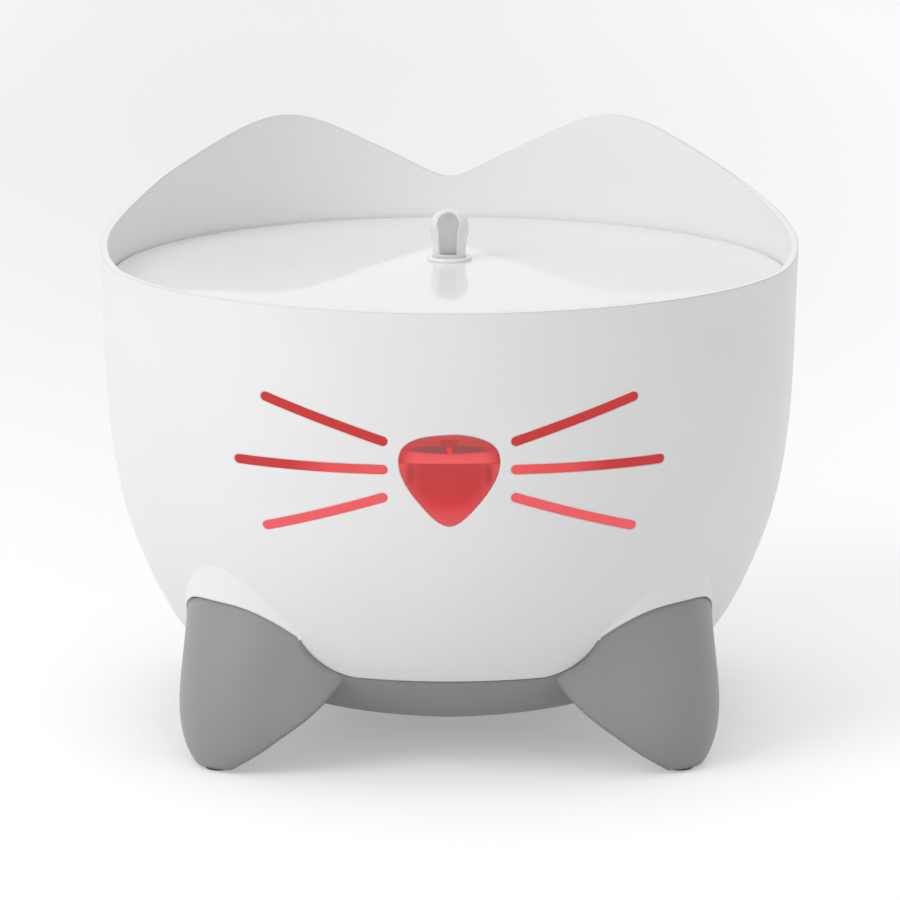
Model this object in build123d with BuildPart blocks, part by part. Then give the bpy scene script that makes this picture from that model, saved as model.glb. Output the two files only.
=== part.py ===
from build123d import *
from math import atan2, degrees, sqrt
import os

os.makedirs("parts", exist_ok=True)

# Pet water fountain. Millimetres, +Z up, the floor at z = 0, the bowl's axis on Z, the face towards -Y.

# ---------------------------------------------------------------- driving sizes
# Bowl
rim_r = 120.0            # outer radius at the rim
rim_z = 163.0            # height of the rim
wall = 2.5               # bowl wall
belly_in, belly_z = 2.0, 110.0      # how far the wall has drawn in from the rim, and where
flank_in, flank_z = 7.9, 74.0
haunch_in, haunch_z = 16.2, 52.0
seam_in, seam_z = 26.5, 34.0        # where the white bowl meets the grey base

# Ears
ear_rise = 32.4          # tip above the rim
ear_half = 60.5          # tip to the middle plane
ear_dip = 7.4            # lowest point between the ears, above the rim
ear_front = [            # half of the ears' edge from the front: out from the middle, above the rim
    (0, ear_dip),
    (12.5, 12.0),
    (32.5, 22.3),
    (ear_half, ear_rise),
    (84.5, 25.0),
    (104.8, 14.7),
    (122.5, 4.6),
]
ear_side = [             # the same edge from the side, front to back: from the axis, above the rim
    (-45.6, 0.0),
    (-9.6, 2.9),
    (34.8, 9.0),
    (60.0, 16.8),
    (88.8, 36.4),
]
ear_side_end = (0.6, 1.0)           # its direction at the back

# Base
floor_r, floor_z = 40.0, 7.5        # flat bottom of the dish
sole_out, sole_z = 21.7, 13.6       # points of the dish out from it
keel_out, keel_z = 37.0, 19.8
base_wall = 2.5
fit_gap = 0.3            # bowl in its base
seam_gap = 0.3           # brow over the foot

# Feet
foot_count = 4
foot_turn = 45.0
lobe_in = 46.5           # the lobe's middle, in from the rim
toe_in, toe_r = 30.7, 28.1          # the toe at the calf, in from the rim, and its radius
leg_sections = [         # height, lobe radius, how far the toe is out from the calf's, toe radius
    (0.0, 31.5, 14.9, 10.5),
    (6.0, 36.3, 5.9, 21.6),
    (14.0, 38.8, 1.2, 27.0),
    (22.0, 39.1, 0.0, toe_r),
    (43.0, 37.0, -5.9, 30.3),
    (62.0, 35.0, -11.5, 31.5),
]
brow_r = 37.2
brow_low_z, brow_z = 47.0, 72.0
arch_z = 57.5            # top of the foot
arch_side = [            # half of its outline: out from the middle, below the top
    (0, 0),
    (13.7, 1.4),
    (20.5, 4.4),
    (27.3, 9.9),
]
neck_half, neck_rise = 40.0, 2.1
lower_edge = [           # foot's lower edge on a flat side: out from the bowl's middle plane, height
    (34.0, seam_z),
    (41.0, 25.9),
    (50.0, 18.0),
    (56.5, 13.2),
    (63.0, 8.2),
    (69.5, 3.8),
    (74.8, 0.0),
]
foot_wall = 3.0

# Pads and base screws
pad_edge = 3.2           # foot outside the pad
pad_r = 4.75
pad_out = 1.3            # what shows below the foot
pad_in = 1.2
pad_gap = 0.1
boss_out = 11.1          # screw out from the toe's middle
boss_r = 3.8
tower_r = 5.2
boss_low_z = 31.0
screw_head_z = 20.0
screw_r, screw_head_r, screw_head_h, screw_len = 1.5, 2.8, 2.0, 20.0
screw_gap = 0.2

# Nose window, its seal and its float
nose_top_z, nose_low_z = 122.9, 91.9
nose_side = [            # half of the nose's outline from its top down: half width, height
    (10.5, 121.4),
    (15.6, 117.6),
    (16.5, 113.6),
    (13.9, 105.4),
    (7.8, 97.3),
    (2.2, 92.5),
]
inlay_gap = 0.1
flange_out = 3.0
seal_t = 0.8
flange_t = 1.6
well_r, well_wall = 12.2, 1.2
well_top_z, well_low_z = 112.0, 93.6
float_r, float_t = 10.2, 4.6
float_top_z = 110.8
float_stem_w, float_bar_w, float_bar_h, float_bar_z = 2.4, 6.0, 1.6, 118.7

# Whiskers: inner end and outer end, each x and z, on the right side
whisker_w = 3.2
whiskers = {
    "upper": ((21.6, 120.4), (59.9, 132.5)),
    "middle": ((21.6, 110.9), (68.9, 110.2)),
    "lower": ((21.6, 101.4), (59.6, 88.6)),
}

# Drinking plate
plate_drop = 7.6         # top of the plate's edge below the rim
plate_rise = 4.4         # dome
plate_mid_rise = 3.3     # the dome half way out
plate_t = 2.4
plate_gap = 0.9          # round the edge, where the water runs back
bracket_count = 8
bracket_in, bracket_w, bracket_h = 6.5, 3.0, 14.0
rest_gap = 0.2
skirt_in, skirt_t, skirt_h = 12.6, 2.0, 7.0
collar_r, collar_h = 9.5, 13.0

# Spout
spout_ring_r, spout_ring_h = 7.6, 1.2
sleeve_t, sleeve_h = 1.0, 9.0
stem_r, stem_bore_r = 5.8, 4.4
spout_gap = 0.1
turn_gap = 0.08
hood_low_r, hood_top_r, hood_wall = 5.6, 6.85, 0.9
hood_h, hood_shoulder_h = 17.5, 11.3
mouth_low_half, mouth_neck_half, mouth_top_r = 2.95, 3.4, 3.85      # a slot under a round top
mouth_low, mouth_high = 2.4, 16.8
mouth_turn = -5.0        # the mouth looks a little to one side

# Pump chamber, standing on the bowl's floor
cup_r, cup_h, cup_count, cup_in = 5.4, 4.2, 4, 7.0
cup_pin_r, cup_pin_gap, cup_pin_h = 1.6, 0.1, 0.5
chamber_gap, chamber_wall, chamber_h = 5.3, 2.0, 50.0
chamber_floor_t = 2.5
deck_t = 2.0
spigot_in, spigot_t, spigot_up = 0.3, 1.6, 3.0
stop_t, stop_l, stop_h = 1.2, 18.0, 5.0
cord_notch_w, cord_notch_h = 7.0, 13.0

# Pump
pump_half_x, pump_front_y, pump_back_y, pump_h = 20.0, -8.0, 33.0, 38.0
pump_round = 3.0
axis_h = 24.5            # rotor axis above the pump's underside
volute_r, volute_back_y = 11.0, 2.0
magnet_r, magnet_gap, magnet_front_y, magnet_back_y = 8.0, 0.6, 2.6, 26.0
can_wall = 1.0
shaft_r, shaft_gap = 1.5, 0.05
bush_r, bush_t = 2.6, 2.4
impeller_r, blade_t, blade_count = 9.8, 1.0, 6
cover_t = 2.5
cover_half_x, cover_low, cover_high = 15.5, 10.5, 37.5
eye_r, spoke_count = 5.6, 3
intake_depth, intake_wall = 9.5, 1.6
intake_slots, intake_slot_w, intake_slot_l, intake_pitch = 5, 2.0, 19.6, 4.2
dial_r, dial_t, dial_pin_r, dial_low = 5.0, 2.2, 1.5, 8.5
core_leg, core_depth = 4.6, 15.0
core_gap = 0.2
coil_wall = 1.0
spigot_r, spigot_bore_r, spigot_h = 5.0, 3.4, 7.5
gland_r, gland_out, gland_z = 4.0, 5.0, 8.0
cap_t = 2.0

# Riser
riser_r, riser_bore_r = 6.4, 4.5
socket_gap = 0.1
ring_t = 1.2

# Filter
filter_gap = 0.4
filter_in, filter_wall, filter_h = 3.0, 1.8, 14.0
layer_gap = 0.1
foam_t, carbon_t, resin_t = 4.0, 4.0, 3.6
lid_t = 1.8
grille_slots, grille_slot_w, grille_edge = 18, 3.0, 6.2
tab_w, tab_h, tab_t, tab_in = 16.0, 9.0, 2.0, 4.0

# Cable outlet in the back wall
outlet_z, outlet_r = 140.0, 4.0
grommet_lip, grommet_lip_t, grommet_bore_r = 2.0, 1.2, 1.9

# ---------------------------------------------------------------- places worked out from them
far = 2.0 * rim_r
search_steps = 12
ear_top_z = rim_z + ear_rise
body_points = [
    (rim_r, rim_z),
    (rim_r - belly_in, belly_z),
    (rim_r - flank_in, flank_z),
    (rim_r - haunch_in, haunch_z),
    (rim_r - seam_in, seam_z),
    (floor_r + keel_out, keel_z),
    (floor_r + sole_out, sole_z),
    (floor_r, floor_z),
]
lobe_q = rim_r - lobe_in                # distances from the bowl's axis along a foot
toe_q = rim_r - toe_in
pad_q = toe_q + toe_r - pad_edge - pad_r
boss_q = toe_q + boss_out
core_in = base_wall + fit_gap           # outside of the bowl where the base holds it
tank_in = core_in + wall                # inside of the bowl there
step_z = arch_z + wall                  # above this the bowl is one wall thick
foot_places = PolarLocations(0, foot_count, start_angle=foot_turn)


def inset_points(inset):
    """The bowl's outline moved inwards by inset, square to itself."""
    curve = Spline(*body_points)
    moved = []
    for point in body_points:
        way = curve.tangent_at(curve.param_at_point(Vector(*point)))
        moved.append((point[0] + way.Y * inset, point[1] - way.X * inset))
    return moved


def round_body(inset):
    """Solid of revolution inside the bowl's outline, up past the ears."""
    top_z = ear_top_z + wall
    points = inset_points(inset)
    with BuildPart() as body:
        with BuildSketch(Plane.XZ):
            with BuildLine():
                Spline(*points)
                Polyline(points[-1], (0, points[-1][1]), (0, top_z), (points[0][0], top_z), points[0])
            make_face()
        revolve(axis=Axis.Z)
    return body.part


def slab(low_z, high_z):
    """Everything between two heights."""
    with BuildPart() as block:
        with BuildSketch(Plane.XY.offset(low_z)):
            Circle(far)
        extrude(amount=high_z - low_z)
    return block.part


def body_radius(z, inset=0.0):
    """Radius of the bowl's outline, moved inwards by inset, at a height."""
    curve = Spline(*inset_points(inset))
    place = (z - rim_z) / (floor_z - rim_z)
    for _ in range(search_steps):
        place += (z - (curve @ place).Y) / (curve % place).Y / curve.length
    return (curve @ place).X


def save(piece, name):
    """Label a finished piece and write it to its own file."""
    piece.part.label = name
    export_step(piece.part, f"parts/{name}.step")


# ---------------------------------------------------------------- feet, as seen along one foot's own axis
def lobe(inset=0.0):
    """Rounded horizontal sections of one foot, lofted from the floor to the knee, along +X."""
    with BuildPart() as leg:
        for z, lobe_r, tip_out, tip_r in leg_sections:
            with BuildSketch(Plane.XY.offset(z)):
                with Locations((lobe_q, 0)):
                    Circle(lobe_r - inset)
                with Locations((toe_q + tip_out, 0)):
                    Circle(tip_r - inset)
                make_hull()
        loft()
    return leg.part


def across(z_points):
    """The same points on both sides of the middle, from one side to the other."""
    return [(-t, z) for t, z in reversed(z_points[1:])] + list(z_points)


def above_edge(turn, rise=0.0):
    """What lies above the foot's lower edge, seen square to one of its flat sides."""
    points = [(out, z + rise) for out, z in lower_edge]
    with BuildPart() as kept:
        with BuildSketch(Plane.XZ.rotated((0, 0, turn))):
            with BuildLine():
                Spline(*points)
                Polyline(
                    points[-1],
                    (points[-1][0], -wall),
                    (far, -wall),
                    (far, brow_z),
                    (points[0][0], brow_z),
                    points[0],
                )
            make_face()
        extrude(amount=far, both=True)
    return kept.part


def arch(rise=0.0):
    """Outline under the brow and down to the ring, seen along the foot."""
    arch_half, arch_side_z = arch_side[-1][0], arch_z - arch_side[-1][1]
    with BuildPart() as zone:
        with BuildSketch(Plane.YZ.offset(lobe_q / 2)):
            with BuildLine():
                Spline(*across([(t, arch_z - drop + rise) for t, drop in arch_side]))
                for side in (-1, 1):
                    Spline(
                        (side * arch_half, arch_side_z + rise),
                        (side * (arch_half + neck_half) / 2, seam_z + neck_rise + rise),
                        (side * neck_half, seam_z),
                    )
                Line((-neck_half, seam_z), (neck_half, seam_z))
            make_face()
        extrude(amount=far)
    return zone.part


# ---------------------------------------------------------------- grey base
with BuildPart() as foot:
    add(lobe())
    add(slab(pad_out, brow_z), mode=Mode.INTERSECT)
    for turn in (-foot_turn, foot_turn):
        add(above_edge(turn), mode=Mode.INTERSECT)

with BuildPart() as foot_hollow:
    add(lobe(foot_wall))
    add(slab(pad_out + foot_wall, brow_z), mode=Mode.INTERSECT)
    for turn in (-foot_turn, foot_turn):
        add(above_edge(turn, foot_wall), mode=Mode.INTERSECT)

with BuildPart() as base_zone:
    add(slab(-wall, seam_z))
    with foot_places:
        add(arch())

with BuildPart() as screw_tower:
    with BuildSketch():
        with Locations((boss_q, 0)):
            Circle(tower_r)
        with Locations((boss_q + tower_r, 0)):
            Rectangle(4 * tower_r, base_wall)
    extrude(amount=boss_low_z - screw_gap)
    add(foot.part, mode=Mode.INTERSECT)

with BuildPart() as foot_base:
    add(round_body(0))
    with foot_places:
        add(foot.part)
    with foot_places:
        add(foot_hollow.part, mode=Mode.SUBTRACT)
    with foot_places:
        add(screw_tower.part)
    add(base_zone.part, mode=Mode.INTERSECT)
    add(round_body(base_wall), mode=Mode.SUBTRACT)
    with BuildSketch():
        with foot_places:
            with Locations((pad_q, 0)):
                Circle(pad_r + pad_gap)
    extrude(amount=pad_out + pad_in, mode=Mode.SUBTRACT)
    with BuildSketch():
        with foot_places:
            with Locations((boss_q, 0)):
                Circle(screw_head_r + screw_gap)
    extrude(amount=screw_head_z, mode=Mode.SUBTRACT)
    with BuildSketch():
        with foot_places:
            with Locations((boss_q, 0)):
                Circle(screw_r + screw_gap)
    extrude(amount=boss_low_z, mode=Mode.SUBTRACT)
save(foot_base, "foot_base")

with BuildPart() as foot_pads:
    with BuildSketch():
        with foot_places:
            with Locations((pad_q, 0)):
                Circle(pad_r)
    extrude(amount=pad_out + pad_in)
    fillet(foot_pads.edges().group_by(Axis.Z)[0], pad_out / 2)
save(foot_pads, "foot_pads")

with BuildPart() as base_screw:
    with BuildSketch(Plane.XY.offset(screw_head_z)):
        Circle(screw_r)
    extrude(amount=screw_len)
    with BuildSketch(Plane.XY.offset(screw_head_z)):
        Circle(screw_head_r)
    extrude(amount=-screw_head_h)
    fillet(base_screw.edges().group_by(Axis.Z)[0], screw_head_h / 3)
    with BuildSketch(Plane.XY.offset(screw_head_z - screw_head_h)):
        Rectangle(screw_head_r, screw_head_h / 3)
        Rectangle(screw_head_h / 3, screw_head_r)
    extrude(amount=screw_head_h / 2, mode=Mode.SUBTRACT)

with BuildPart() as base_screws:
    with foot_places:
        with Locations((boss_q, 0)):
            add(base_screw.part)
save(base_screws, "base_screws")


# ---------------------------------------------------------------- white bowl
def nose_prism(grow=0.0):
    """The nose's outline, moved outwards by a margin and pushed through the front wall."""
    mirrored = [(-x, z) for x, z in reversed(nose_side)]
    points = [(0, nose_top_z)] + nose_side + [(0, nose_low_z)] + mirrored
    curve = Spline(*points, periodic=True)
    moved = []
    for x, z in points:
        way = curve.tangent_at(curve.param_at_point(Vector(x, z)))
        moved.append((x - way.Y * grow, z + way.X * grow))
    with BuildPart() as prism:
        with BuildSketch(Plane.XZ.offset(rim_r / 2)):
            with BuildLine():
                Spline(*moved, periodic=True)
            make_face()
        extrude(amount=rim_r)
    return prism.part


def whisker_prism(ends, side, grow=0.0):
    """One whisker's rounded strip, grown by a margin and pushed through the front wall."""
    (inner_x, inner_z), (outer_x, outer_z) = ends
    run, climb = outer_x - inner_x, outer_z - inner_z
    with BuildPart() as prism:
        with BuildSketch(Plane.XZ.offset(rim_r / 2)):
            with Locations((side * (inner_x + run / 2), inner_z + climb / 2)):
                SlotCenterToCenter(
                    sqrt(run**2 + climb**2),
                    whisker_w + 2 * grow,
                    rotation=side * degrees(atan2(climb, run)),
                )
        extrude(amount=rim_r)
    return prism.part


def wall_band(outer_in, inner_in):
    """A layer of the bowl's wall between two insets."""
    with BuildPart() as band:
        add(round_body(outer_in))
        add(round_body(inner_in), mode=Mode.SUBTRACT)
        add(slab(seam_z, rim_z), mode=Mode.INTERSECT)
    return band.part


sky = ear_top_z + 2 * wall              # above everything

with BuildPart() as above_ears:
    points = across([(x, rim_z + rise) for x, rise in ear_front])
    with BuildSketch(Plane.XZ):
        with BuildLine():
            Spline(*points)
            Polyline(points[-1], (points[-1][0], sky), (points[0][0], sky), points[0])
        make_face()
    extrude(amount=far, both=True)

with BuildPart() as above_side:
    points = [(y, rim_z + rise) for y, rise in ear_side]
    with BuildSketch(Plane.YZ):
        with BuildLine():
            Polyline((-far, rim_z), points[0])
            Spline(*points, tangents=[(1, 0), ear_side_end])
            Polyline(points[-1], (points[-1][0], sky), (-far, sky), (-far, rim_z))
        make_face()
    extrude(amount=far, both=True)

with BuildPart() as foot_space:
    add(slab(-wall, seam_z))
    with foot_places:
        add(arch(seam_gap))
    add(round_body(core_in), mode=Mode.SUBTRACT)

with BuildPart() as brow:
    with BuildSketch(Plane.XY.offset(brow_low_z)):
        with Locations((lobe_q, 0)):
            Circle(brow_r)
    extrude(amount=brow_z - brow_low_z)

with BuildPart() as tank_space:
    add(round_body(wall))
    add(slab(step_z, ear_top_z + far), mode=Mode.INTERSECT)
    add(round_body(tank_in))

wall_r = rim_r - wall
plate_top_z = rim_z - plate_drop        # top of the plate's edge
plate_low_z = plate_top_z - plate_t
plate_r = wall_r - plate_gap
bracket_top_z = plate_low_z - rest_gap

with BuildPart() as bracket:
    with BuildSketch(Plane.XZ):
        with BuildLine():
            Polyline(
                (wall_r - bracket_in, bracket_top_z),
                (rim_r - wall / 2, bracket_top_z),
                (rim_r - wall / 2, bracket_top_z - bracket_h),
                (wall_r - wall / 2, bracket_top_z - bracket_h),
                (wall_r - bracket_in, bracket_top_z - bracket_in),
                close=True,
            )
        make_face()
    extrude(amount=bracket_w / 2, both=True)

with BuildPart() as screw_boss:
    with BuildSketch(Plane.XY.offset(boss_low_z)):
        with Locations((boss_q, 0)):
            Circle(boss_r)
    extrude(amount=arch_z + wall - boss_low_z)

with BuildPart() as bowl_shell:
    add(round_body(0))
    with foot_places:
        add(brow.part)
    add(foot_space.part, mode=Mode.SUBTRACT)
    with foot_places:
        add(screw_boss.part)
    add(tank_space.part, mode=Mode.SUBTRACT)
    with PolarLocations(0, bracket_count, start_angle=180 / bracket_count):
        add(bracket.part)
    add(above_ears.part, mode=Mode.SUBTRACT)
    add(above_side.part, mode=Mode.SUBTRACT)
    add(nose_prism(), mode=Mode.SUBTRACT)
    for ends in whiskers.values():
        for side in (-1, 1):
            add(whisker_prism(ends, side), mode=Mode.SUBTRACT)
    with BuildSketch(Plane.XY.offset(boss_low_z)):
        with foot_places:
            with Locations((boss_q, 0)):
                Circle(screw_r + screw_gap)
    extrude(amount=screw_head_z + screw_len - boss_low_z + screw_gap, mode=Mode.SUBTRACT)
    with BuildSketch(Plane.XZ):
        with Locations((0, outlet_z)):
            Circle(outlet_r)
    extrude(amount=-far, mode=Mode.SUBTRACT)
save(bowl_shell, "bowl_shell")

nose_in = wall + seal_t                 # how far in the window's flange starts
with BuildPart() as nose_seal:
    add(wall_band(wall, nose_in))
    add(nose_prism(flange_out), mode=Mode.INTERSECT)
    add(nose_prism(inlay_gap), mode=Mode.SUBTRACT)
save(nose_seal, "nose_seal")

well_y = -(body_radius(well_top_z) - nose_in - flange_t - well_r + flange_t / 2)
with BuildPart() as nose_well:
    with BuildSketch(Plane.XY.offset(well_low_z)):
        with Locations((0, well_y)):
            Circle(well_r)
    extrude(amount=well_top_z - well_low_z)
    with BuildSketch(Plane.XY.offset(well_low_z + well_wall)):
        with Locations((0, well_y)):
            Circle(well_r - well_wall)
    extrude(amount=well_top_z - well_low_z, mode=Mode.SUBTRACT)
    with BuildSketch(Plane.XZ.offset(-well_y)):
        with Locations((0, (well_low_z + well_top_z) / 2)):
            SlotCenterToCenter(well_r / 2, well_wall * 2, rotation=90)
    extrude(amount=-2 * well_r, mode=Mode.SUBTRACT)
    add(round_body(nose_in), mode=Mode.INTERSECT)

with BuildPart() as nose_flange:
    add(wall_band(nose_in, nose_in + flange_t))
    add(nose_prism(flange_out), mode=Mode.INTERSECT)

with BuildPart() as nose_window:
    add(wall_band(0, nose_in))
    add(nose_prism(-inlay_gap), mode=Mode.INTERSECT)
    add(nose_flange.part)
    add(nose_well.part)
    with BuildSketch(Plane.XY.offset(well_low_z + well_wall)):
        with Locations((0, well_y)):
            Circle(well_r - well_wall)
    extrude(amount=well_top_z - well_low_z - well_wall, mode=Mode.SUBTRACT)
save(nose_window, "nose_window")

with BuildPart() as level_float:
    with BuildSketch(Plane.XY.offset(float_top_z - float_t)):
        with Locations((0, well_y)):
            Circle(float_r)
    extrude(amount=float_t)
    fillet(level_float.edges().group_by(Axis.Z)[0], float_t / 4)
    with BuildSketch(Plane.XY.offset(float_top_z)):
        with Locations((0, well_y)):
            Rectangle(float_stem_w + 2 * inlay_gap, float_stem_w + 2 * inlay_gap)
    extrude(amount=-float_t / 2, mode=Mode.SUBTRACT)
save(level_float, "level_float")

with BuildPart() as float_marker:
    with BuildSketch(Plane.XZ.offset(-well_y)):
        with Locations((0, (float_top_z - float_t / 2 + float_bar_z) / 2)):
            Rectangle(float_stem_w, float_bar_z - float_top_z + float_t / 2)
        with Locations((0, float_bar_z - float_bar_h / 2)):
            Rectangle(float_bar_w, float_bar_h)
    extrude(amount=float_stem_w / 2, both=True)
save(float_marker, "float_marker")

window_band = wall_band(0, wall)
for name, ends in whiskers.items():
    for side, side_name in ((-1, "left"), (1, "right")):
        with BuildPart() as whisker:
            add(window_band)
            add(whisker_prism(ends, side, -inlay_gap), mode=Mode.INTERSECT)
        save(whisker, f"whisker_{side_name}_{name}")

outlet_out = body_radius(outlet_z)
outlet_sag = outlet_out - sqrt(outlet_out**2 - (outlet_r + grommet_lip) ** 2)
with BuildPart() as cable_grommet:
    grommet_faces = (outlet_out - wall - outlet_sag - fit_gap, outlet_out + fit_gap)
    with BuildSketch(Plane.XZ.offset(-grommet_faces[0])):
        with Locations((0, outlet_z)):
            Circle(outlet_r - inlay_gap)
    extrude(amount=-(grommet_faces[1] - grommet_faces[0]))
    for face_y, way in ((grommet_faces[0], 1), (grommet_faces[1], -1)):
        with BuildSketch(Plane.XZ.offset(-face_y)):
            with Locations((0, outlet_z)):
                Circle(outlet_r + grommet_lip)
        extrude(amount=way * grommet_lip_t)
    with BuildSketch(Plane.XZ.offset(-grommet_faces[0] + grommet_lip_t)):
        with Locations((0, outlet_z)):
            Circle(grommet_bore_r)
    extrude(amount=-far, mode=Mode.SUBTRACT)
save(cable_grommet, "cable_grommet")

# ---------------------------------------------------------------- drinking plate
plate_mid_z = plate_top_z + plate_rise  # top of the plate at its middle
sleeve_r = stem_r + turn_gap + sleeve_t
hub_r = sleeve_r + spout_gap            # bore through the plate's middle
skirt_r = plate_r - skirt_in
skirt_rise = plate_rise * (1 - (skirt_r / plate_r) ** 2)        # the dome above the skirt
with BuildPart() as drinking_plate:
    with BuildSketch(Plane.XZ):
        with BuildLine():
            ThreePointArc(
                (0, plate_mid_z),
                (plate_r / 2, plate_top_z + plate_mid_rise),
                (plate_r, plate_top_z),
            )
            Line((plate_r, plate_top_z), (plate_r, plate_low_z))
            ThreePointArc(
                (plate_r, plate_low_z),
                (plate_r / 2, plate_low_z + plate_mid_rise),
                (0, plate_mid_z - plate_t),
            )
            Line((0, plate_mid_z - plate_t), (0, plate_mid_z))
        plate_face = make_face()
        fillet(plate_face.vertices().group_by(Axis.X)[-1], plate_t / 3)
    revolve(axis=Axis.Z)
    with BuildSketch(Plane.XY.offset(plate_low_z - skirt_h)):
        Circle(skirt_r)
        Circle(skirt_r - skirt_t, mode=Mode.SUBTRACT)
    extrude(amount=skirt_h + skirt_rise + plate_t / 2)
    with BuildSketch(Plane.XY.offset(plate_mid_z - plate_t - collar_h)):
        Circle(collar_r)
    extrude(amount=collar_h + plate_t / 2)
    with BuildSketch(Plane.XY.offset(plate_mid_z + plate_t)):
        Circle(hub_r)
    extrude(amount=-far, mode=Mode.SUBTRACT)
save(drinking_plate, "drinking_plate")

# ---------------------------------------------------------------- spout
with BuildPart() as spout_ring:
    with BuildSketch(Plane.XY.offset(plate_mid_z - sleeve_h)):
        Circle(sleeve_r)
    extrude(amount=sleeve_h)
    with BuildSketch(Plane.XY.offset(plate_mid_z)):
        Circle(spout_ring_r)
    extrude(amount=spout_ring_h)
    fillet(spout_ring.edges().group_by(Axis.Z)[-1], spout_ring_h / 2)
    with BuildSketch(Plane.XY.offset(plate_mid_z - sleeve_h)):
        Circle(stem_r + turn_gap)
    extrude(amount=far, mode=Mode.SUBTRACT)
save(spout_ring, "spout_ring")


def hood_outline(inset):
    """Half of the hood from the ring to its round top, with the stem's top closed at the axis."""
    low = plate_mid_z + spout_ring_h
    with BuildSketch(Plane.XZ) as face:
        with BuildLine():
            Spline(
                (hood_low_r - inset, low),
                (hood_top_r - inset, plate_mid_z + hood_shoulder_h),
                (0, plate_mid_z + hood_h - inset),
                tangents=[(0, 1), (-1, 0)],
            )
            Polyline((0, plate_mid_z + hood_h - inset), (0, low), (hood_low_r - inset, low))
        make_face()
    return face.sketch


with BuildPart() as spout_hood:
    with BuildSketch(Plane.XZ):
        add(hood_outline(0))
    revolve(axis=Axis.Z)
    with BuildSketch(Plane.XZ):
        add(hood_outline(hood_wall))
    revolve(axis=Axis.Z, mode=Mode.SUBTRACT)
    with BuildSketch(Plane.XY.offset(plate_mid_z - sleeve_h)):
        Circle(stem_r)
        Circle(stem_bore_r, mode=Mode.SUBTRACT)
    extrude(amount=sleeve_h + spout_ring_h)
    with BuildSketch(Plane.XZ.rotated((0, 0, mouth_turn))):
        with BuildLine():
            Polyline(
                (-mouth_low_half, plate_mid_z + mouth_low),
                (mouth_low_half, plate_mid_z + mouth_low),
                (mouth_neck_half, plate_mid_z + mouth_high - mouth_top_r),
                (-mouth_neck_half, plate_mid_z + mouth_high - mouth_top_r),
                close=True,
            )
        make_face()
        with Locations((0, plate_mid_z + mouth_high - mouth_top_r)):
            Circle(mouth_top_r)
    extrude(amount=far, mode=Mode.SUBTRACT)
save(spout_hood, "spout_hood")

# ---------------------------------------------------------------- pump chamber
tank_floor_z = inset_points(tank_in)[-1][1]
cup_z = tank_floor_z + rest_gap
chamber_z = cup_z + cup_h               # underside of the chamber's floor
pump_z = chamber_z + chamber_floor_t    # the pump stands here
cup_places = PolarLocations(floor_r - cup_in, cup_count, start_angle=180 / cup_count)
chamber_r = body_radius(chamber_z, tank_in) - chamber_gap
filter_r = chamber_r - filter_in
core_hole_r = riser_r + 2 * filter_gap
grille_ring_r = (filter_r + core_hole_r) / 2
grille_slot_l = filter_r - core_hole_r - 2 * grille_edge
wide_half = pump_half_x + fit_gap

with BuildPart() as suction_cup:
    with BuildSketch(Plane.XZ):
        with BuildLine():
            Polyline(
                (0, cup_z + cup_h / 3),
                (cup_r / 2, cup_z + cup_h / 4),
                (cup_r - rest_gap, cup_z),
                (cup_r, cup_z),
                (cup_r - cup_h / 4, cup_z + cup_h / 3),
                (cup_pin_r + cup_h / 5, chamber_z),
                (cup_pin_r, chamber_z),
                (cup_pin_r, pump_z + cup_pin_h),
                (0, pump_z + cup_pin_h),
                close=True,
            )
        make_face()
    revolve(axis=Axis.Z)

with BuildPart() as suction_cups:
    with cup_places:
        add(suction_cup.part)
save(suction_cups, "suction_cups")

with BuildPart() as chamber_base:
    with BuildSketch(Plane.XY.offset(chamber_z)):
        Circle(chamber_r)
        with cup_places:
            Circle(cup_pin_r + cup_pin_gap, mode=Mode.SUBTRACT)
    extrude(amount=chamber_floor_t)
    with BuildSketch(Plane.XY.offset(pump_z)):
        Circle(chamber_r - chamber_wall - spigot_in)
        Circle(chamber_r - chamber_wall - spigot_in - spigot_t, mode=Mode.SUBTRACT)
    extrude(amount=spigot_up)
    with BuildSketch(Plane.XY.offset(pump_z)):
        for side in (-1, 1):
            with Locations((side * (wide_half + stop_t / 2), 0)):
                Rectangle(stop_t, stop_l)
    extrude(amount=stop_h)
save(chamber_base, "chamber_base")

deck_z = pump_z + chamber_h             # top of the chamber
with BuildPart() as chamber_cover:
    with BuildSketch(Plane.XY.offset(pump_z)):
        Circle(chamber_r)
    extrude(amount=chamber_h)
    fillet(chamber_cover.edges().group_by(Axis.Z)[-1], chamber_wall / 2)
    with BuildSketch(Plane.XY.offset(pump_z)):
        Circle(chamber_r - chamber_wall)
    extrude(amount=chamber_h - deck_t, mode=Mode.SUBTRACT)
    with BuildSketch(Plane.XY.offset(deck_z)):
        Circle(riser_r + fit_gap)
        with PolarLocations(grille_ring_r, grille_slots):
            SlotOverall(grille_slot_l, grille_slot_w)
    extrude(amount=-deck_t, mode=Mode.SUBTRACT)
    with BuildSketch(Plane.XZ.offset(-chamber_r / 2)):
        with Locations((0, pump_z + cord_notch_h / 2)):
            Rectangle(cord_notch_w, cord_notch_h)
    extrude(amount=-chamber_r, mode=Mode.SUBTRACT)
save(chamber_cover, "chamber_cover")

# ---------------------------------------------------------------- pump
axis_z = pump_z + axis_h
pump_top_z = pump_z + pump_h
magnet_bore_r = magnet_r + magnet_gap
can_r = magnet_bore_r + can_wall
leg_x = can_r + core_gap                # inner face of each leg of the core
cavity_half = leg_x + core_leg + core_gap
coil_front_y = volute_back_y + can_wall + core_gap
coil_back_y = coil_front_y + core_depth + 2 * core_leg
cavity_top_z = axis_z + can_r
cover_front_y = pump_front_y - cover_t
bush_back_y = magnet_back_y + shaft_gap * 4 + bush_t


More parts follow.
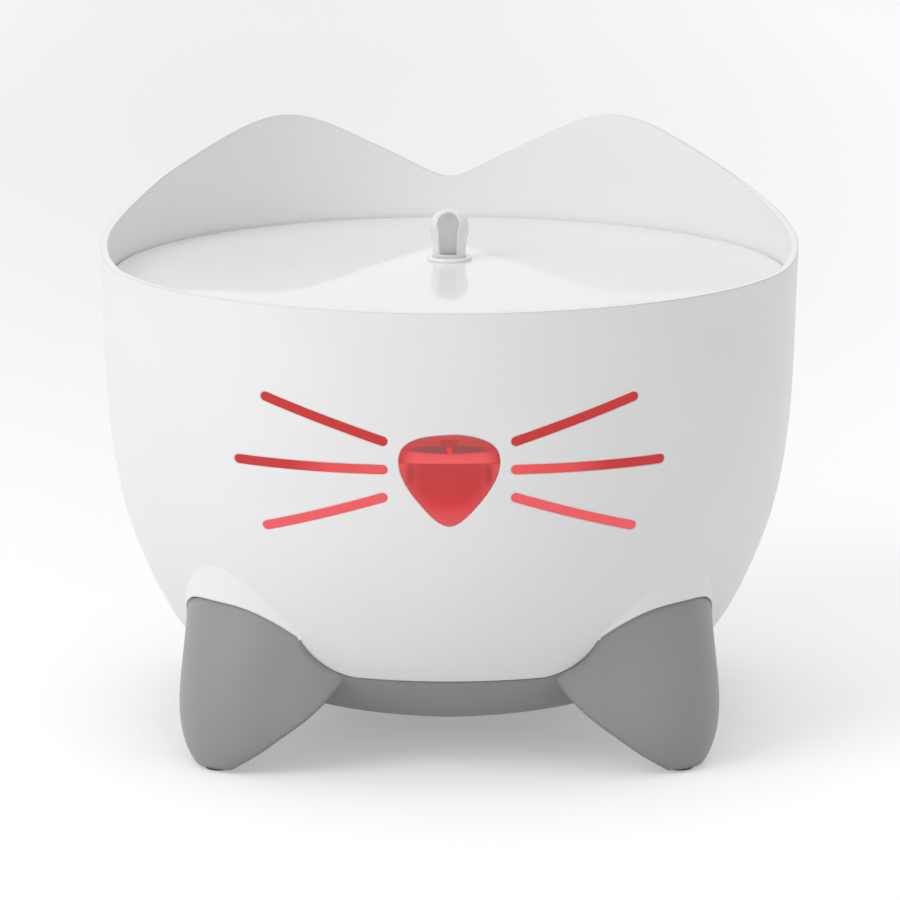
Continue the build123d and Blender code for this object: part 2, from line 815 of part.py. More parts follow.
def rod(radius, front_y, back_y, bore=0.0):
    """Round piece along the rotor's axis."""
    with BuildPart() as piece:
        with BuildSketch(Plane.XZ.offset(-front_y)):
            with Locations((0, axis_z)):
                Circle(radius)
                if bore:
                    Circle(bore, mode=Mode.SUBTRACT)
        extrude(amount=front_y - back_y)
    return piece.part


def block(half_x, front_y, back_y, low_z, high_z):
    """Upright block about the middle plane."""
    with BuildPart() as piece:
        with BuildSketch(Plane.XY.offset(low_z)):
            with Locations((0, (front_y + back_y) / 2)):
                Rectangle(2 * half_x, back_y - front_y)
        extrude(amount=high_z - low_z)
    return piece.part


with BuildPart() as pump_body:
    add(block(pump_half_x, pump_front_y, pump_back_y, pump_z, pump_top_z))
    fillet(pump_body.edges().filter_by(Axis.Z), pump_round)
    add(
        block(cavity_half, coil_front_y - core_gap, coil_back_y + core_gap, pump_z, cavity_top_z),
        mode=Mode.SUBTRACT,
    )
    add(rod(can_r, volute_back_y, magnet_back_y + can_wall))
    add(rod(volute_r, pump_front_y, volute_back_y), mode=Mode.SUBTRACT)
    add(rod(magnet_bore_r, volute_back_y, magnet_back_y), mode=Mode.SUBTRACT)
    add(rod(bush_r, magnet_back_y, bush_back_y), mode=Mode.SUBTRACT)
    with BuildSketch(Plane.XY.offset(pump_top_z)):
        Circle(spigot_r)
    extrude(amount=spigot_h)
    with BuildSketch(Plane.XY.offset(pump_top_z + spigot_h)):
        Circle(spigot_bore_r)
    extrude(amount=axis_z + volute_r / 2 - pump_top_z - spigot_h, mode=Mode.SUBTRACT)
    with BuildSketch(Plane.XZ.offset(-pump_back_y)):
        with Locations((0, pump_z + gland_z)):
            Circle(gland_r)
    extrude(amount=cap_t, mode=Mode.SUBTRACT)
save(pump_body, "pump_body")

with BuildPart() as pump_cap:
    add(
        block(
            cavity_half - core_gap / 2,
            coil_front_y - core_gap / 2,
            coil_back_y + core_gap / 2,
            pump_z,
            pump_z + cap_t,
        )
    )
save(pump_cap, "pump_cap")

core_low_z = pump_z + cap_t + core_gap
coil_top_z = axis_z - can_r - core_gap
yoke_low_z = core_low_z + coil_wall + core_leg / 2
yoke_high_z = coil_top_z - coil_wall - core_leg / 2
core_front_y = coil_front_y + core_leg
core_back_y = core_front_y + core_depth

with BuildPart() as stator_core:
    add(block(leg_x + core_leg, core_front_y, core_back_y, core_low_z, cavity_top_z - core_gap))
    add(
        block(leg_x, core_front_y, core_back_y, yoke_high_z, cavity_top_z),
        mode=Mode.SUBTRACT,
    )
    add(
        block(leg_x, core_front_y, core_back_y, core_low_z, yoke_low_z),
        mode=Mode.SUBTRACT,
    )
save(stator_core, "stator_core")

with BuildPart() as motor_coil:
    add(block(leg_x - core_gap, coil_front_y, coil_back_y, core_low_z, coil_top_z))
    fillet(motor_coil.edges().filter_by(Axis.X), coil_wall)
    add(
        block(
            leg_x,
            core_front_y - core_gap / 2,
            core_back_y + core_gap / 2,
            yoke_low_z - core_gap / 2,
            yoke_high_z + core_gap / 2,
        ),
        mode=Mode.SUBTRACT,
    )
save(motor_coil, "motor_coil")

with BuildPart() as rotor_shaft:
    add(rod(shaft_r, cover_front_y, bush_back_y))
save(rotor_shaft, "rotor_shaft")

with BuildPart() as rear_bush:
    add(rod(bush_r, bush_back_y - bush_t, bush_back_y, shaft_r))
save(rear_bush, "rear_bush")

with BuildPart() as front_bush:
    add(rod(bush_r, cover_front_y, cover_front_y + bush_t, shaft_r))
save(front_bush, "front_bush")

with BuildPart() as rotor_magnet:
    add(rod(magnet_r, magnet_front_y, magnet_back_y - magnet_gap, shaft_r + shaft_gap))
save(rotor_magnet, "rotor_magnet")

impeller_front_y = pump_front_y + magnet_gap + shaft_gap
with BuildPart() as impeller:
    add(rod(impeller_r, volute_back_y - magnet_gap - blade_t, volute_back_y - magnet_gap))
    add(rod(impeller_r / 2, volute_back_y - magnet_gap, magnet_front_y))
    with BuildSketch(Plane.XZ.offset(-impeller_front_y)):
        with Locations((0, axis_z)):
            Circle(bush_r)
            with PolarLocations(impeller_r / 2, blade_count):
                Rectangle(impeller_r - blade_t, blade_t)
    extrude(amount=impeller_front_y - volute_back_y + magnet_gap)
    add(rod(shaft_r + shaft_gap, impeller_front_y, magnet_front_y), mode=Mode.SUBTRACT)
save(impeller, "impeller")

with BuildPart() as volute_cover:
    add(block(cover_half_x, cover_front_y, pump_front_y, pump_z + cover_low, pump_z + cover_high))
    fillet(volute_cover.edges().filter_by(Axis.Y), pump_round)
    with BuildSketch(Plane.XZ.offset(-pump_front_y)):
        with Locations((0, axis_z)):
            Circle(eye_r)
            Circle(bush_r + blade_t, mode=Mode.SUBTRACT)
            with PolarLocations(eye_r / 2, spoke_count):
                Rectangle(eye_r, blade_t, mode=Mode.SUBTRACT)
    extrude(amount=cover_t, mode=Mode.SUBTRACT)
    add(rod(bush_r, cover_front_y, pump_front_y), mode=Mode.SUBTRACT)
save(volute_cover, "volute_cover")

intake_front_y = cover_front_y - intake_depth
intake_half = cover_half_x + layer_gap + intake_wall
intake_low_z = pump_z + intake_wall
intake_high_z = pump_z + cover_high + layer_gap + intake_wall
dial_z = pump_z + dial_low
with BuildPart() as intake_cover:
    add(block(intake_half, intake_front_y, pump_front_y, intake_low_z, intake_high_z))
    fillet(intake_cover.faces().sort_by(Axis.Y)[0].edges(), pump_round)
    add(
        block(
            intake_half - intake_wall,
            intake_front_y + intake_wall,
            pump_front_y,
            intake_low_z + intake_wall,
            intake_high_z - intake_wall,
        ),
        mode=Mode.SUBTRACT,
    )
    with BuildSketch(Plane.XZ.offset(-intake_front_y)):
        with Locations((0, axis_z)):
            with GridLocations(intake_pitch, 0, intake_slots, 1):
                SlotOverall(intake_slot_l, intake_slot_w, rotation=90)
        with Locations((0, dial_z)):
            Circle(dial_pin_r + shaft_gap)
    extrude(amount=-intake_wall, mode=Mode.SUBTRACT)
save(intake_cover, "intake_cover")

with BuildPart() as flow_dial:
    with BuildSketch(Plane.XZ.offset(-intake_front_y + inlay_gap)):
        with Locations((0, dial_z)):
            Circle(dial_r)
    extrude(amount=dial_t)
    with BuildSketch(Plane.XZ.offset(-intake_front_y + inlay_gap)):
        with Locations((0, dial_z)):
            Circle(dial_pin_r)
    extrude(amount=-2 * intake_wall)
    with BuildSketch(Plane.XZ.offset(-intake_front_y + inlay_gap + dial_t)):
        with Locations((0, dial_z)):
            Rectangle(dial_pin_r, 2 * dial_r - dial_t)
    extrude(amount=dial_t / 2)
save(flow_dial, "flow_dial")

with BuildPart() as pump_gland:
    with BuildSketch(Plane.XZ.offset(-pump_back_y + cap_t)):
        with Locations((0, pump_z + gland_z)):
            Circle(gland_r - inlay_gap)
    extrude(amount=-cap_t - gland_out)
    fillet(pump_gland.edges().group_by(Axis.Y)[-1], gland_r / 3)
    with BuildSketch(Plane.XZ.offset(-pump_back_y)):
        with Locations((0, pump_z + gland_z)):
            Circle(grommet_bore_r)
    extrude(amount=-gland_out, mode=Mode.SUBTRACT)
save(pump_gland, "pump_gland")

# ---------------------------------------------------------------- riser
riser_low_z = pump_top_z + rest_gap
riser_top_z = plate_mid_z - sleeve_h - rest_gap - ring_t
with BuildPart() as riser_tube:
    with BuildSketch(Plane.XY.offset(riser_low_z)):
        Circle(riser_r)
        Circle(riser_bore_r, mode=Mode.SUBTRACT)
    extrude(amount=riser_top_z - riser_low_z)
    with BuildSketch(Plane.XY.offset(riser_low_z)):
        Circle(spigot_r + socket_gap)
    extrude(amount=pump_top_z + spigot_h - riser_low_z, mode=Mode.SUBTRACT)
save(riser_tube, "riser_tube")

with BuildPart() as riser_seal:
    with BuildSketch(Plane.XY.offset(riser_top_z)):
        Circle(riser_r)
        Circle(riser_bore_r, mode=Mode.SUBTRACT)
    extrude(amount=ring_t)
    fillet(riser_seal.edges().group_by(Axis.Z)[-1], ring_t / 4)
save(riser_seal, "riser_seal")

# ---------------------------------------------------------------- filter
filter_z = deck_z + filter_gap


def grille(low_z, thickness):
    """Round plate with radial slots and a hole for the riser."""
    with BuildPart() as plate:
        with BuildSketch(Plane.XY.offset(low_z)):
            Circle(filter_r)
            Circle(core_hole_r, mode=Mode.SUBTRACT)
            with PolarLocations(grille_ring_r, grille_slots):
                SlotOverall(grille_slot_l, grille_slot_w, mode=Mode.SUBTRACT)
        extrude(amount=thickness)
    return plate.part


with BuildPart() as filter_frame:
    add(grille(filter_z, filter_wall))
    with BuildSketch(Plane.XY.offset(filter_z)):
        Circle(filter_r)
        Circle(filter_r - filter_wall, mode=Mode.SUBTRACT)
        Circle(core_hole_r + filter_wall)
        Circle(core_hole_r, mode=Mode.SUBTRACT)
    extrude(amount=filter_h)
save(filter_frame, "filter_frame")

layer_z = filter_z + filter_wall + layer_gap
for name, thickness in (("foam", foam_t), ("carbon", carbon_t), ("resin", resin_t)):
    with BuildPart() as layer:
        with BuildSketch(Plane.XY.offset(layer_z)):
            Circle(filter_r - filter_wall - layer_gap)
            Circle(core_hole_r + filter_wall + layer_gap, mode=Mode.SUBTRACT)
        extrude(amount=thickness)
    save(layer, f"filter_{name}")
    layer_z += thickness

lid_z = filter_z + filter_h
with BuildPart() as filter_lid:
    add(grille(lid_z, lid_t))
    with BuildSketch(Plane.XY.offset(lid_z)):
        for side in (-1, 1):
            with Locations((side * (filter_r - tab_in), 0)):
                Rectangle(tab_t, tab_w)
    extrude(amount=lid_t + tab_h)
save(filter_lid, "filter_lid")
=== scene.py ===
from math import radians

import bpy
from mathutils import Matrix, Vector

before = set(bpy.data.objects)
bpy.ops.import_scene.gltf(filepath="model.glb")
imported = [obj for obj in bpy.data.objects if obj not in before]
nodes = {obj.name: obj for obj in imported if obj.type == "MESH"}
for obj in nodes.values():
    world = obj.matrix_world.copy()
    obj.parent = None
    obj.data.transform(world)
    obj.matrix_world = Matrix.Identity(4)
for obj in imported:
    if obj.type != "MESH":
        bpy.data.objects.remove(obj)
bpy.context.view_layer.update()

# ---------------------------------------------------------------- camera, solved from the photo
CAMERA_AT = (0.0, -1.700, 0.4564)      # metres
CAMERA_TILT = 90.0 - 12.08             # degrees up from straight down
FOCAL_PX, FRAME_PX = 5001.0, 900.0
CENTRE_OFF_PX = 0.6
SENSOR = 36.0

camera_data = bpy.data.cameras.new("camera")
camera_data.sensor_width = SENSOR
camera_data.lens = FOCAL_PX / FRAME_PX * SENSOR
camera_data.shift_x = CENTRE_OFF_PX / FRAME_PX
camera = bpy.data.objects.new("camera", camera_data)
camera.location = CAMERA_AT
camera.rotation_euler = (radians(CAMERA_TILT), 0.0, 0.0)
bpy.context.scene.collection.objects.link(camera)
bpy.context.scene.camera = camera
bpy.context.scene.view_settings.view_transform = "Standard"

# ---------------------------------------------------------------- sizes in metres, colours in linear light
BLACK = (0.0, 0.0, 0.0)
WHITE = (1.0, 1.0, 1.0)

STUDIO_LEVEL = 0.56                 # the world's light on the object
BOWL_CENTRE = (0.0, 0.0, 0.08)      # what the lamps aim at
BOWL_TOP = (0.0, 0.0, 0.1)

SHELL_WHITE = (0.86, 0.86, 0.86)
HOOD_DEPTH = 0.004                  # how far light goes into the thin spout
SKIN_CELLS = 2600.0                 # cells to the metre of a fine moulded skin
RUBBER_CELLS = 1800.0

WATER_Z = 0.1131                    # the water line behind the nose
NOSE_LOW_Z, NOSE_TOP_Z = 0.0919, 0.1229
COLUMN_X = 0.0127                   # painted shade: a darker column on each side of the nose
WHISKER_NEAR_X, WHISKER_FAR_X = 0.021, 0.066
# whisker reds: painted light from the white inside behind the lower whiskers, painted shade from the inner parts
# behind the upper ones
RED_PAINTED_LIGHT = (0.86, 0.110, 0.125)
RED_PAINTED_SHADE = (0.56, 0.034, 0.034)

FLOOR_HALF = 8.0
FLOOR_LIT = (0.86, 0.86, 0.86)      # what light bounces from
FLOOR_SEEN = (0.74, 0.74, 0.74)     # what the camera sees, before the glow is added
# an even glow for the backdrop, and painted light added towards the far side
FLOOR_GLOW, FAR_PAINTED_LIGHT = 0.35, 0.075
HALO_X = 0.03                       # how far left of the bowl the painted shade behind it lies
# painted shade behind the bowl and to the left
HALO_SHADE, LEFT_SHADE = 0.10, 0.065


# ---------------------------------------------------------------- node helpers
def seen_directly(tree):
    """1 for what the camera, a reflection or a clear surface sees, else 0."""
    path = tree.nodes.new("ShaderNodeLightPath")
    seen = path.outputs["Is Camera Ray"]
    for ray in ("Is Glossy Ray", "Is Transmission Ray"):
        seen = sums(tree, "MAXIMUM", seen, path.outputs[ray])
    return seen


def shader(name):
    """An empty node material with its Principled shader and its object coordinates."""
    material = bpy.data.materials.new(name)
    material.use_nodes = True
    tree = material.node_tree
    tree.nodes.clear()
    out = tree.nodes.new("ShaderNodeOutputMaterial")
    surface = tree.nodes.new("ShaderNodeBsdfPrincipled")
    tree.links.new(surface.outputs[0], out.inputs["Surface"])
    place = tree.nodes.new("ShaderNodeTexCoord")
    return material, tree, surface, place.outputs["Object"]


def noise(tree, place, scale, detail=3.0, stretch=(1.0, 1.0, 1.0)):
    """Noise of so many cells to the metre."""
    mapping = tree.nodes.new("ShaderNodeMapping")
    mapping.inputs["Scale"].default_value = stretch
    tree.links.new(place, mapping.inputs["Vector"])
    field = tree.nodes.new("ShaderNodeTexNoise")
    field.inputs["Scale"].default_value = scale
    field.inputs["Detail"].default_value = detail
    tree.links.new(mapping.outputs[0], field.inputs["Vector"])
    return field.outputs["Fac"]


def ramp(tree, value, stops):
    """A colour ramp through (position, colour) stops."""
    node = tree.nodes.new("ShaderNodeValToRGB")
    band = node.color_ramp
    while len(band.elements) < len(stops):
        band.elements.new(0.5)
    for element, (position, colour) in zip(band.elements, stops):
        element.position = position
        element.color = (*colour, 1.0)
    tree.links.new(value, node.inputs["Fac"])
    return node.outputs["Color"]


def spread(tree, value, low, high):
    """value, 0 to 1, spread over low to high."""
    node = tree.nodes.new("ShaderNodeMapRange")
    node.inputs["To Min"].default_value = low
    node.inputs["To Max"].default_value = high
    tree.links.new(value, node.inputs["Value"])
    return node.outputs["Result"]


def between(tree, value, low, high):
    """value spread from 0 at low to 1 at high."""
    node = tree.nodes.new("ShaderNodeMapRange")
    node.inputs["From Min"].default_value = low
    node.inputs["From Max"].default_value = high
    tree.links.new(value, node.inputs["Value"])
    return node.outputs["Result"]


def split(tree, place):
    """The three coordinates of a place."""
    parts = tree.nodes.new("ShaderNodeSeparateXYZ")
    tree.links.new(place, parts.inputs[0])
    return parts.outputs


def sums(tree, operation, first, second):
    """One step of arithmetic on two values, each a number or another node's output."""
    node = tree.nodes.new("ShaderNodeMath")
    node.operation = operation
    for socket, value in zip(node.inputs, (first, second)):
        if isinstance(value, float):
            socket.default_value = value
        else:
            tree.links.new(value, socket)
    return node.outputs[0]


def size_of(tree, value):
    """value without its sign."""
    return sums(tree, "ABSOLUTE", value, 0.0)


def blend(tree, share, first, second):
    """share of the way from the first colour to the second, each a triple or another node's output."""
    node = tree.nodes.new("ShaderNodeMix")
    node.data_type = "RGBA"
    if isinstance(share, float):
        node.inputs["Factor"].default_value = share
    else:
        tree.links.new(share, node.inputs["Factor"])
    first_socket, second_socket = node.inputs[6], node.inputs[7]      # the colour pair of the mix node
    for socket, colour in ((first_socket, first), (second_socket, second)):
        if isinstance(colour, tuple):
            socket.default_value = (*colour, 1.0)
        else:
            tree.links.new(colour, socket)
    return node.outputs[2]


def patch(tree, u, v, middle, half_u, half_v, power, soft):
    """1 inside a rounded patch about u = 0, v = middle, 0 outside it: an ellipse at power 2, nearly a box at 8."""
    across = sums(tree, "POWER", size_of(tree, sums(tree, "DIVIDE", u, half_u)), power)
    along = sums(tree, "DIVIDE", sums(tree, "SUBTRACT", v, middle), half_v)
    upright = sums(tree, "POWER", size_of(tree, along), power)
    return between(tree, sums(tree, "ADD", across, upright), 1.0 + soft, 1.0 - soft)


def bumped(tree, surface, height, depth, edge=0.0):
    """The surface's normal, pushed by height times depth metres, with its edges rounded over edge metres."""
    node = tree.nodes.new("ShaderNodeBump")
    if edge:
        rounded = tree.nodes.new("ShaderNodeBevel")
        rounded.inputs["Radius"].default_value = edge
        tree.links.new(rounded.outputs[0], node.inputs["Normal"])
    node.inputs["Distance"].default_value = depth
    node.inputs["Strength"].default_value = 1.0
    tree.links.new(height, node.inputs["Height"])
    tree.links.new(node.outputs[0], surface.inputs["Normal"])


# ---------------------------------------------------------------- light
def background(tree, level):
    """A white background of this strength."""
    node = tree.nodes.new("ShaderNodeBackground")
    node.inputs["Color"].default_value = (*WHITE, 1.0)
    node.inputs["Strength"].default_value = level
    return node.outputs[0]


def world_light(level):
    """White where the camera, a reflection or a clear surface sees it, a plain studio level elsewhere."""
    world = bpy.data.worlds.new("studio")
    bpy.context.scene.world = world
    world.use_nodes = True
    tree = world.node_tree
    tree.nodes.clear()
    sources = (seen_directly(tree), background(tree, level), background(tree, 1.0))
    mix = tree.nodes.new("ShaderNodeMixShader")
    for socket, source in zip(mix.inputs, sources):
        tree.links.new(source, socket)
    out = tree.nodes.new("ShaderNodeOutputWorld")
    tree.links.new(mix.outputs[0], out.inputs["Surface"])


def softbox(name, place, aim, size, watts):
    """A square studio lamp at place that looks at aim."""
    data = bpy.data.lights.new(name, "AREA")
    data.shape = "SQUARE"
    data.size = size
    data.energy = watts
    lamp = bpy.data.objects.new(name, data)
    lamp.location = place
    lamp.rotation_euler = (Vector(aim) - Vector(place)).to_track_quat("-Z", "Y").to_euler()
    bpy.context.scene.collection.objects.link(lamp)


world_light(STUDIO_LEVEL)
softbox("key", place=(-1.6, -1.2, 1.5), aim=BOWL_CENTRE, size=1.4, watts=22.0)
softbox("fill", place=(1.5, -1.4, 0.9), aim=BOWL_CENTRE, size=1.4, watts=1.5)
softbox("top", place=(0.0, 0.3, 2.0), aim=BOWL_TOP, size=1.6, watts=8.0)


# ---------------------------------------------------------------- materials
def moulded(name, colour, rough, grain=SKIN_CELLS, depth=0.000006, tone=0.012, edge=0.0):
    """Moulded plastic or rubber: slight cloudiness in its colour, uneven polish and a fine skin."""
    material, tree, surface, place = shader(name)
    cloud = noise(tree, place, scale=18.0, detail=2.0)
    dark = tuple(c * (1.0 - tone) for c in colour)
    light = tuple(min(c * (1.0 + tone), 1.0) for c in colour)
    tree.links.new(ramp(tree, cloud, [(0.35, dark), (0.65, light)]), surface.inputs["Base Color"])
    polish = noise(tree, place, scale=90.0, detail=4.0)
    tree.links.new(spread(tree, polish, rough * 0.88, rough * 1.12), surface.inputs["Roughness"])
    surface.inputs["IOR"].default_value = 1.46
    bumped(tree, surface, noise(tree, place, grain, detail=2.0), depth, edge)
    return material


def lit_deep(material, depth):
    """The same material with light going this far into it."""
    surface = material.node_tree.nodes["Principled BSDF"].inputs
    surface["Subsurface Weight"].default_value = 1.0
    surface["Subsurface Radius"].default_value = (1.0, 1.0, 1.0)
    surface["Subsurface Scale"].default_value = depth
    return material


def metal(name, colour, rough, stretch):
    """Bright metal with fine drawn lines."""
    material, tree, surface, place = shader(name)
    lines = noise(tree, place, scale=900.0, stretch=stretch)
    dark = tuple(c * 0.86 for c in colour)
    tree.links.new(ramp(tree, lines, [(0.3, dark), (0.7, colour)]), surface.inputs["Base Color"])
    tree.links.new(spread(tree, lines, rough * 0.8, rough * 1.3), surface.inputs["Roughness"])
    surface.inputs["Metallic"].default_value = 1.0
    bumped(tree, surface, lines, depth=0.000004)
    return material


def porous(name, low, high, cells, depth, rough=0.9):
    """Foam, granules or felt: rounded cells with dark gaps between them."""
    material, tree, surface, place = shader(name)
    cell = tree.nodes.new("ShaderNodeTexVoronoi")
    cell.inputs["Scale"].default_value = cells
    tree.links.new(place, cell.inputs["Vector"])
    tree.links.new(ramp(tree, cell.outputs["Distance"], [(0.15, high), (0.75, low)]), surface.inputs["Base Color"])
    surface.inputs["Roughness"].default_value = rough
    bumped(tree, surface, spread(tree, cell.outputs["Distance"], 1.0, 0.0), depth)
    return material


def lit_through(tree, surface, place, tint, plain, glow):
    """Tinted plastic lit from both sides: plain of its colour as a surface, a painted glow of it (emission) as
    light through it.
    """
    surface.inputs["Roughness"].default_value = 0.25
    surface.inputs["IOR"].default_value = 1.49
    surface.inputs["Specular IOR Level"].default_value = 0.25
    surface.inputs["Emission Strength"].default_value = glow
    tree.links.new(tint, surface.inputs["Emission Color"])
    tree.links.new(blend(tree, plain, BLACK, tint), surface.inputs["Base Color"])
    bumped(tree, surface, noise(tree, place, scale=900.0, detail=2.0), depth=0.000003, edge=0.0004)


def red_plastic(name, stops):
    """Red translucent plastic of a whisker, by colour stops from its end at the nose to its tip: painted light and
    painted shade from what lies behind it.
    """
    material, tree, surface, place = shader(name)
    away = size_of(tree, split(tree, place)[0])
    tint = ramp(tree, between(tree, away, WHISKER_NEAR_X, WHISKER_FAR_X), stops)
    cloud = spread(tree, noise(tree, place, scale=240.0), 0.0, 0.10)
    tint = blend(tree, cloud, tint, (0.60, 0.03, 0.03))
    lit_through(tree, surface, place, tint, plain=0.35, glow=0.70)
    return material


def above_water(tree, place, x, z):
    """The nose over the water line: a pink band of painted light with darker ends of painted shade, and the deeper
    red of painted shade above it.
    """
    tint = ramp(tree, between(tree, z, WATER_Z, NOSE_TOP_Z), [
        (0.00, (0.52, 0.05, 0.05)),
        (0.05, (0.88, 0.125, 0.13)),
        (0.33, (0.80, 0.10, 0.11)),
        (0.45, (0.54, 0.07, 0.07)),
        (0.80, (0.50, 0.066, 0.064)),
        (1.00, (0.60, 0.095, 0.085)),
    ])
    within = patch(tree, x, z, middle=0.1150, half_u=0.0138, half_v=0.0120, power=4.0, soft=0.6)
    tint = blend(tree, within, (0.56, 0.045, 0.043), tint)
    streaks = noise(tree, place, scale=900.0, detail=2.0, stretch=(0.06, 0.06, 1.0))
    return blend(tree, spread(tree, streaks, 0.0, 0.30), tint, (0.70, 0.06, 0.07))


def below_water(tree, place, x, z):
    """The nose under the water line: lighter towards its edges and tip, with a darker column of painted shade on
    each side.
    """
    tint = ramp(tree, between(tree, z, NOSE_LOW_Z, WATER_Z), [
        (0.10, (0.73, 0.070, 0.082)),
        (0.35, (0.64, 0.038, 0.040)),
        (0.60, (0.55, 0.036, 0.036)),
        (0.95, (0.51, 0.044, 0.045)),
    ])
    cloud = noise(tree, place, scale=260.0)
    tint = blend(tree, spread(tree, cloud, 0.0, 0.5), tint, (0.55, 0.044, 0.048))
    within = patch(tree, x, z, middle=0.1105, half_u=0.0137, half_v=0.0158, power=2.0, soft=0.5)
    tint = blend(tree, within, (0.70, 0.095, 0.100), tint)
    aside = sums(tree, "SUBTRACT", size_of(tree, x), COLUMN_X)
    column = patch(tree, aside, z, middle=0.1098, half_u=0.0012, half_v=0.0036, power=2.0, soft=0.8)
    return blend(tree, sums(tree, "MULTIPLY", column, 0.7), tint, (0.40, 0.034, 0.036))


def window_pane():
    """The nose: a red pane painted with the water line, the round hollow behind it in painted shade and the T in
    the hollow, with painted light at the foot of the stem.
    """
    material, tree, surface, place = shader("window_red")
    x, _, z = split(tree, place)
    over_line = sums(tree, "GREATER_THAN", z, WATER_Z)
    tint = blend(tree, over_line, below_water(tree, place, x, z), above_water(tree, place, x, z))
    for middle, half_x, half_z, power, soft, colour in (
        (0.1180, 0.0124, 0.00140, 2.0, 0.30, (0.288, 0.075, 0.071)),      # hollow, in painted shade
        (0.1203, 0.0028, 0.00095, 8.0, 0.50, (0.45, 0.052, 0.050)),       # bar of the T
        (0.1187, 0.0012, 0.00090, 8.0, 0.50, (0.45, 0.052, 0.050)),       # its stem
        (0.1177, 0.0009, 0.00120, 2.0, 0.50, (0.80, 0.052, 0.058)),       # painted light at the foot of the stem
    ):
        tint = blend(tree, patch(tree, x, z, middle, half_x, half_z, power, soft), tint, colour)
    lit_through(tree, surface, place, tint, plain=0.85, glow=0.30)
    return material


def give(material, *names):
    """These nodes get this material."""
    for name in names:
        node = nodes[name]
        if not node.data.materials:
            node.data.materials.append(material)
        for slot in node.material_slots:
            slot.material = material


gloss_white = moulded("plate_gloss", SHELL_WHITE, 0.06, depth=0.0000015, edge=0.0006)
hood_white = moulded("hood_white", (0.90, 0.90, 0.90), 0.16, depth=0.0000015, edge=0.0006)
frosted = moulded("filter_white", (0.82, 0.84, 0.86), 0.4)
chamber = moulded("chamber_grey", (0.48, 0.49, 0.50), 0.36)
float_grey = moulded("float_grey", (0.50, 0.48, 0.48), 0.35)
pump_black = moulded("pump_black", (0.03, 0.03, 0.033), 0.38, depth=0.00002, tone=0.2)
pad_rubber = moulded("pad_rubber", (0.12, 0.12, 0.12), 0.75, grain=RUBBER_CELLS, depth=0.00003, tone=0.2)
rubber = moulded("cord_rubber", (0.045, 0.045, 0.045), 0.75, grain=RUBBER_CELLS, depth=0.00003, tone=0.2)
seal = moulded("seal_rubber", (0.20, 0.20, 0.21), 0.7, grain=RUBBER_CELLS, depth=0.00002, tone=0.1)
# upper whiskers in painted shade, middle ones in painted light near the nose fading to painted shade at the tip,
# lower ones in painted light
whisker_red_painted_shade = red_plastic("whisker_high_red_painted_shade", [(0.0, RED_PAINTED_SHADE), (1.0, RED_PAINTED_SHADE)])
whisker_red_painted_light_to_shade = red_plastic("whisker_middle_red_painted_light_to_shade", [
    (0.0, (0.85, 0.10, 0.105)),
    (0.4, (0.80, 0.08, 0.083)),
    (0.7, RED_PAINTED_SHADE),
])
whisker_red_painted_light = red_plastic("whisker_low_red_painted_light", [(0.0, RED_PAINTED_LIGHT), (1.0, RED_PAINTED_LIGHT)])

give(moulded("shell_white", SHELL_WHITE, 0.34, edge=0.0009), "bowl_shell")
give(moulded("base_grey", (0.30, 0.30, 0.30), 0.42, edge=0.0025), "foot_base")
give(gloss_white, "drinking_plate", "spout_ring")
give(lit_deep(hood_white, HOOD_DEPTH), "spout_hood")
give(moulded("marker_red", (0.22, 0.012, 0.012), 0.4, tone=0.1), "float_marker")
give(pad_rubber, "foot_pads")
give(rubber, "cable_grommet", "pump_gland")
give(seal, "nose_seal", "suction_cups", "riser_seal", "front_bush", "rear_bush")
give(metal("screw_steel", (0.62, 0.62, 0.63), 0.28, stretch=(1.0, 1.0, 8.0)), "base_screws")
give(window_pane(), "nose_window")
give(whisker_red_painted_shade, "whisker_left_upper", "whisker_right_upper")
give(whisker_red_painted_light_to_shade, "whisker_left_middle", "whisker_right_middle")
give(whisker_red_painted_light, "whisker_left_lower", "whisker_right_lower")
give(float_grey, "level_float", "flow_dial")
give(frosted, "filter_frame", "filter_lid", "impeller")
give(porous("filter_foam", (0.55, 0.58, 0.62), (0.85, 0.88, 0.92), 900.0, 0.0004), "filter_foam")
give(porous("filter_carbon", (0.008, 0.008, 0.008), (0.05, 0.05, 0.05), 700.0, 0.0006), "filter_carbon")
give(porous("filter_resin", (0.35, 0.22, 0.06), (0.78, 0.55, 0.20), 1100.0, 0.0005, rough=0.4), "filter_resin")
give(chamber, "chamber_base", "chamber_cover", "riser_tube")
give(pump_black, "pump_body", "volute_cover", "intake_cover")
give(moulded("pump_potting", (0.035, 0.035, 0.04), 0.25, depth=0.00004, tone=0.2), "pump_cap")
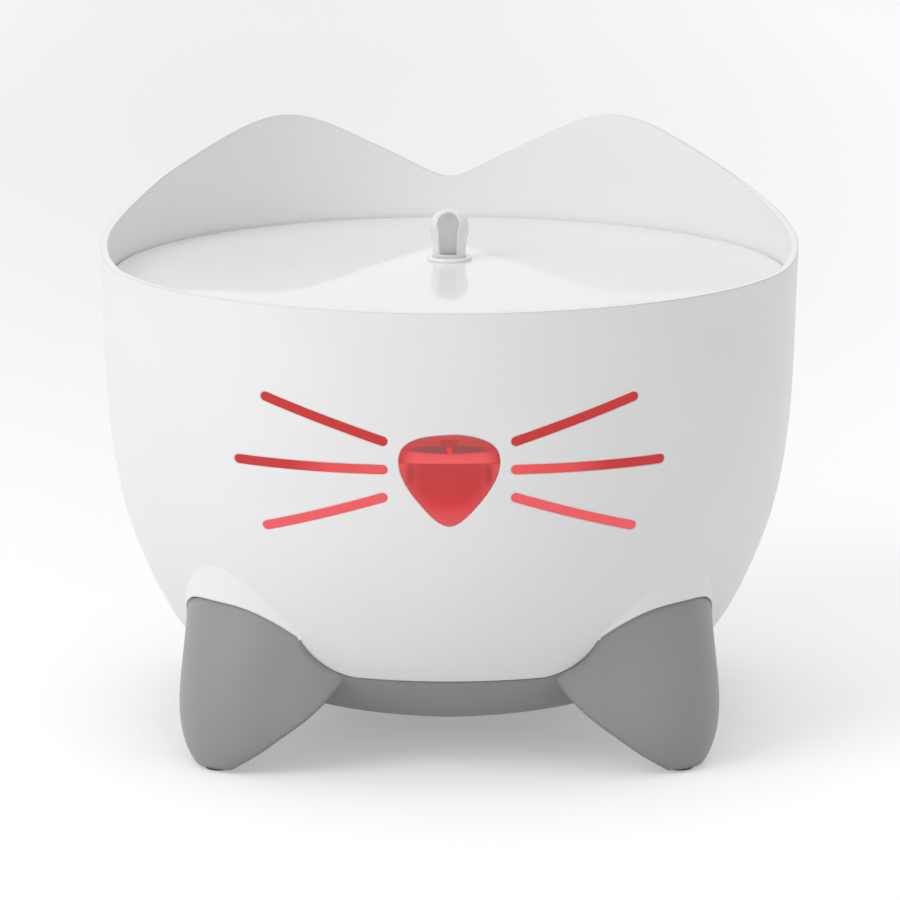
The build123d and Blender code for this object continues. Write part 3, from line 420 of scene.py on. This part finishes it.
give(metal("core_iron", (0.16, 0.16, 0.17), 0.45, stretch=(1.0, 30.0, 1.0)), "stator_core")
give(moulded("coil_tape", (0.52, 0.38, 0.06), 0.35, tone=0.08), "motor_coil")
give(moulded("shaft_ceramic", (0.85, 0.85, 0.81), 0.12), "rotor_shaft")
give(moulded("magnet_dark", (0.055, 0.055, 0.055), 0.45, tone=0.2), "rotor_magnet")


# ---------------------------------------------------------------- floor
def studio_paper():
    """Pale paper with painted shade behind the bowl and to the left and painted light towards the far side, as
    bright as the photo's where it is seen.
    """
    material, tree, surface, place = shader("floor")
    x, y, _ = split(tree, place)
    seen = seen_directly(tree)
    # painted shade behind the bowl and to the left, and painted light towards the far side
    behind = sums(tree, "ADD", x, HALO_X)
    painted_shade_behind = patch(tree, behind, y, middle=1.30, half_u=0.24, half_v=1.20, power=2.0, soft=0.9)
    left = sums(tree, "MULTIPLY", between(tree, x, 0.10, -0.30), between(tree, y, -0.10, 1.20))
    far = sums(tree, "MULTIPLY", between(tree, y, 0.80, 1.90), FAR_PAINTED_LIGHT)
    dark = sums(tree, "ADD", sums(tree, "MULTIPLY", painted_shade_behind, HALO_SHADE), sums(tree, "MULTIPLY", left, LEFT_SHADE))
    shade = sums(tree, "SUBTRACT", 1.0, dark)
    paper = blend(tree, seen, FLOOR_LIT, FLOOR_SEEN)
    tree.links.new(blend(tree, shade, BLACK, paper), surface.inputs["Base Color"])
    surface.inputs["Roughness"].default_value = 0.9
    surface.inputs["Emission Color"].default_value = (*WHITE, 1.0)
    lift = sums(tree, "ADD", sums(tree, "MULTIPLY", shade, FLOOR_GLOW), far)
    tree.links.new(sums(tree, "MULTIPLY", lift, seen), surface.inputs["Emission Strength"])
    return material


floor_mesh = bpy.data.meshes.new("floor")
corners = [(-FLOOR_HALF, -FLOOR_HALF, 0.0), (FLOOR_HALF, -FLOOR_HALF, 0.0),
           (FLOOR_HALF, FLOOR_HALF, 0.0), (-FLOOR_HALF, FLOOR_HALF, 0.0)]
floor_mesh.from_pydata(corners, [], [(0, 1, 2, 3)])
floor_mesh.materials.append(studio_paper())
floor = bpy.data.objects.new("floor", floor_mesh)
bpy.context.scene.collection.objects.link(floor)
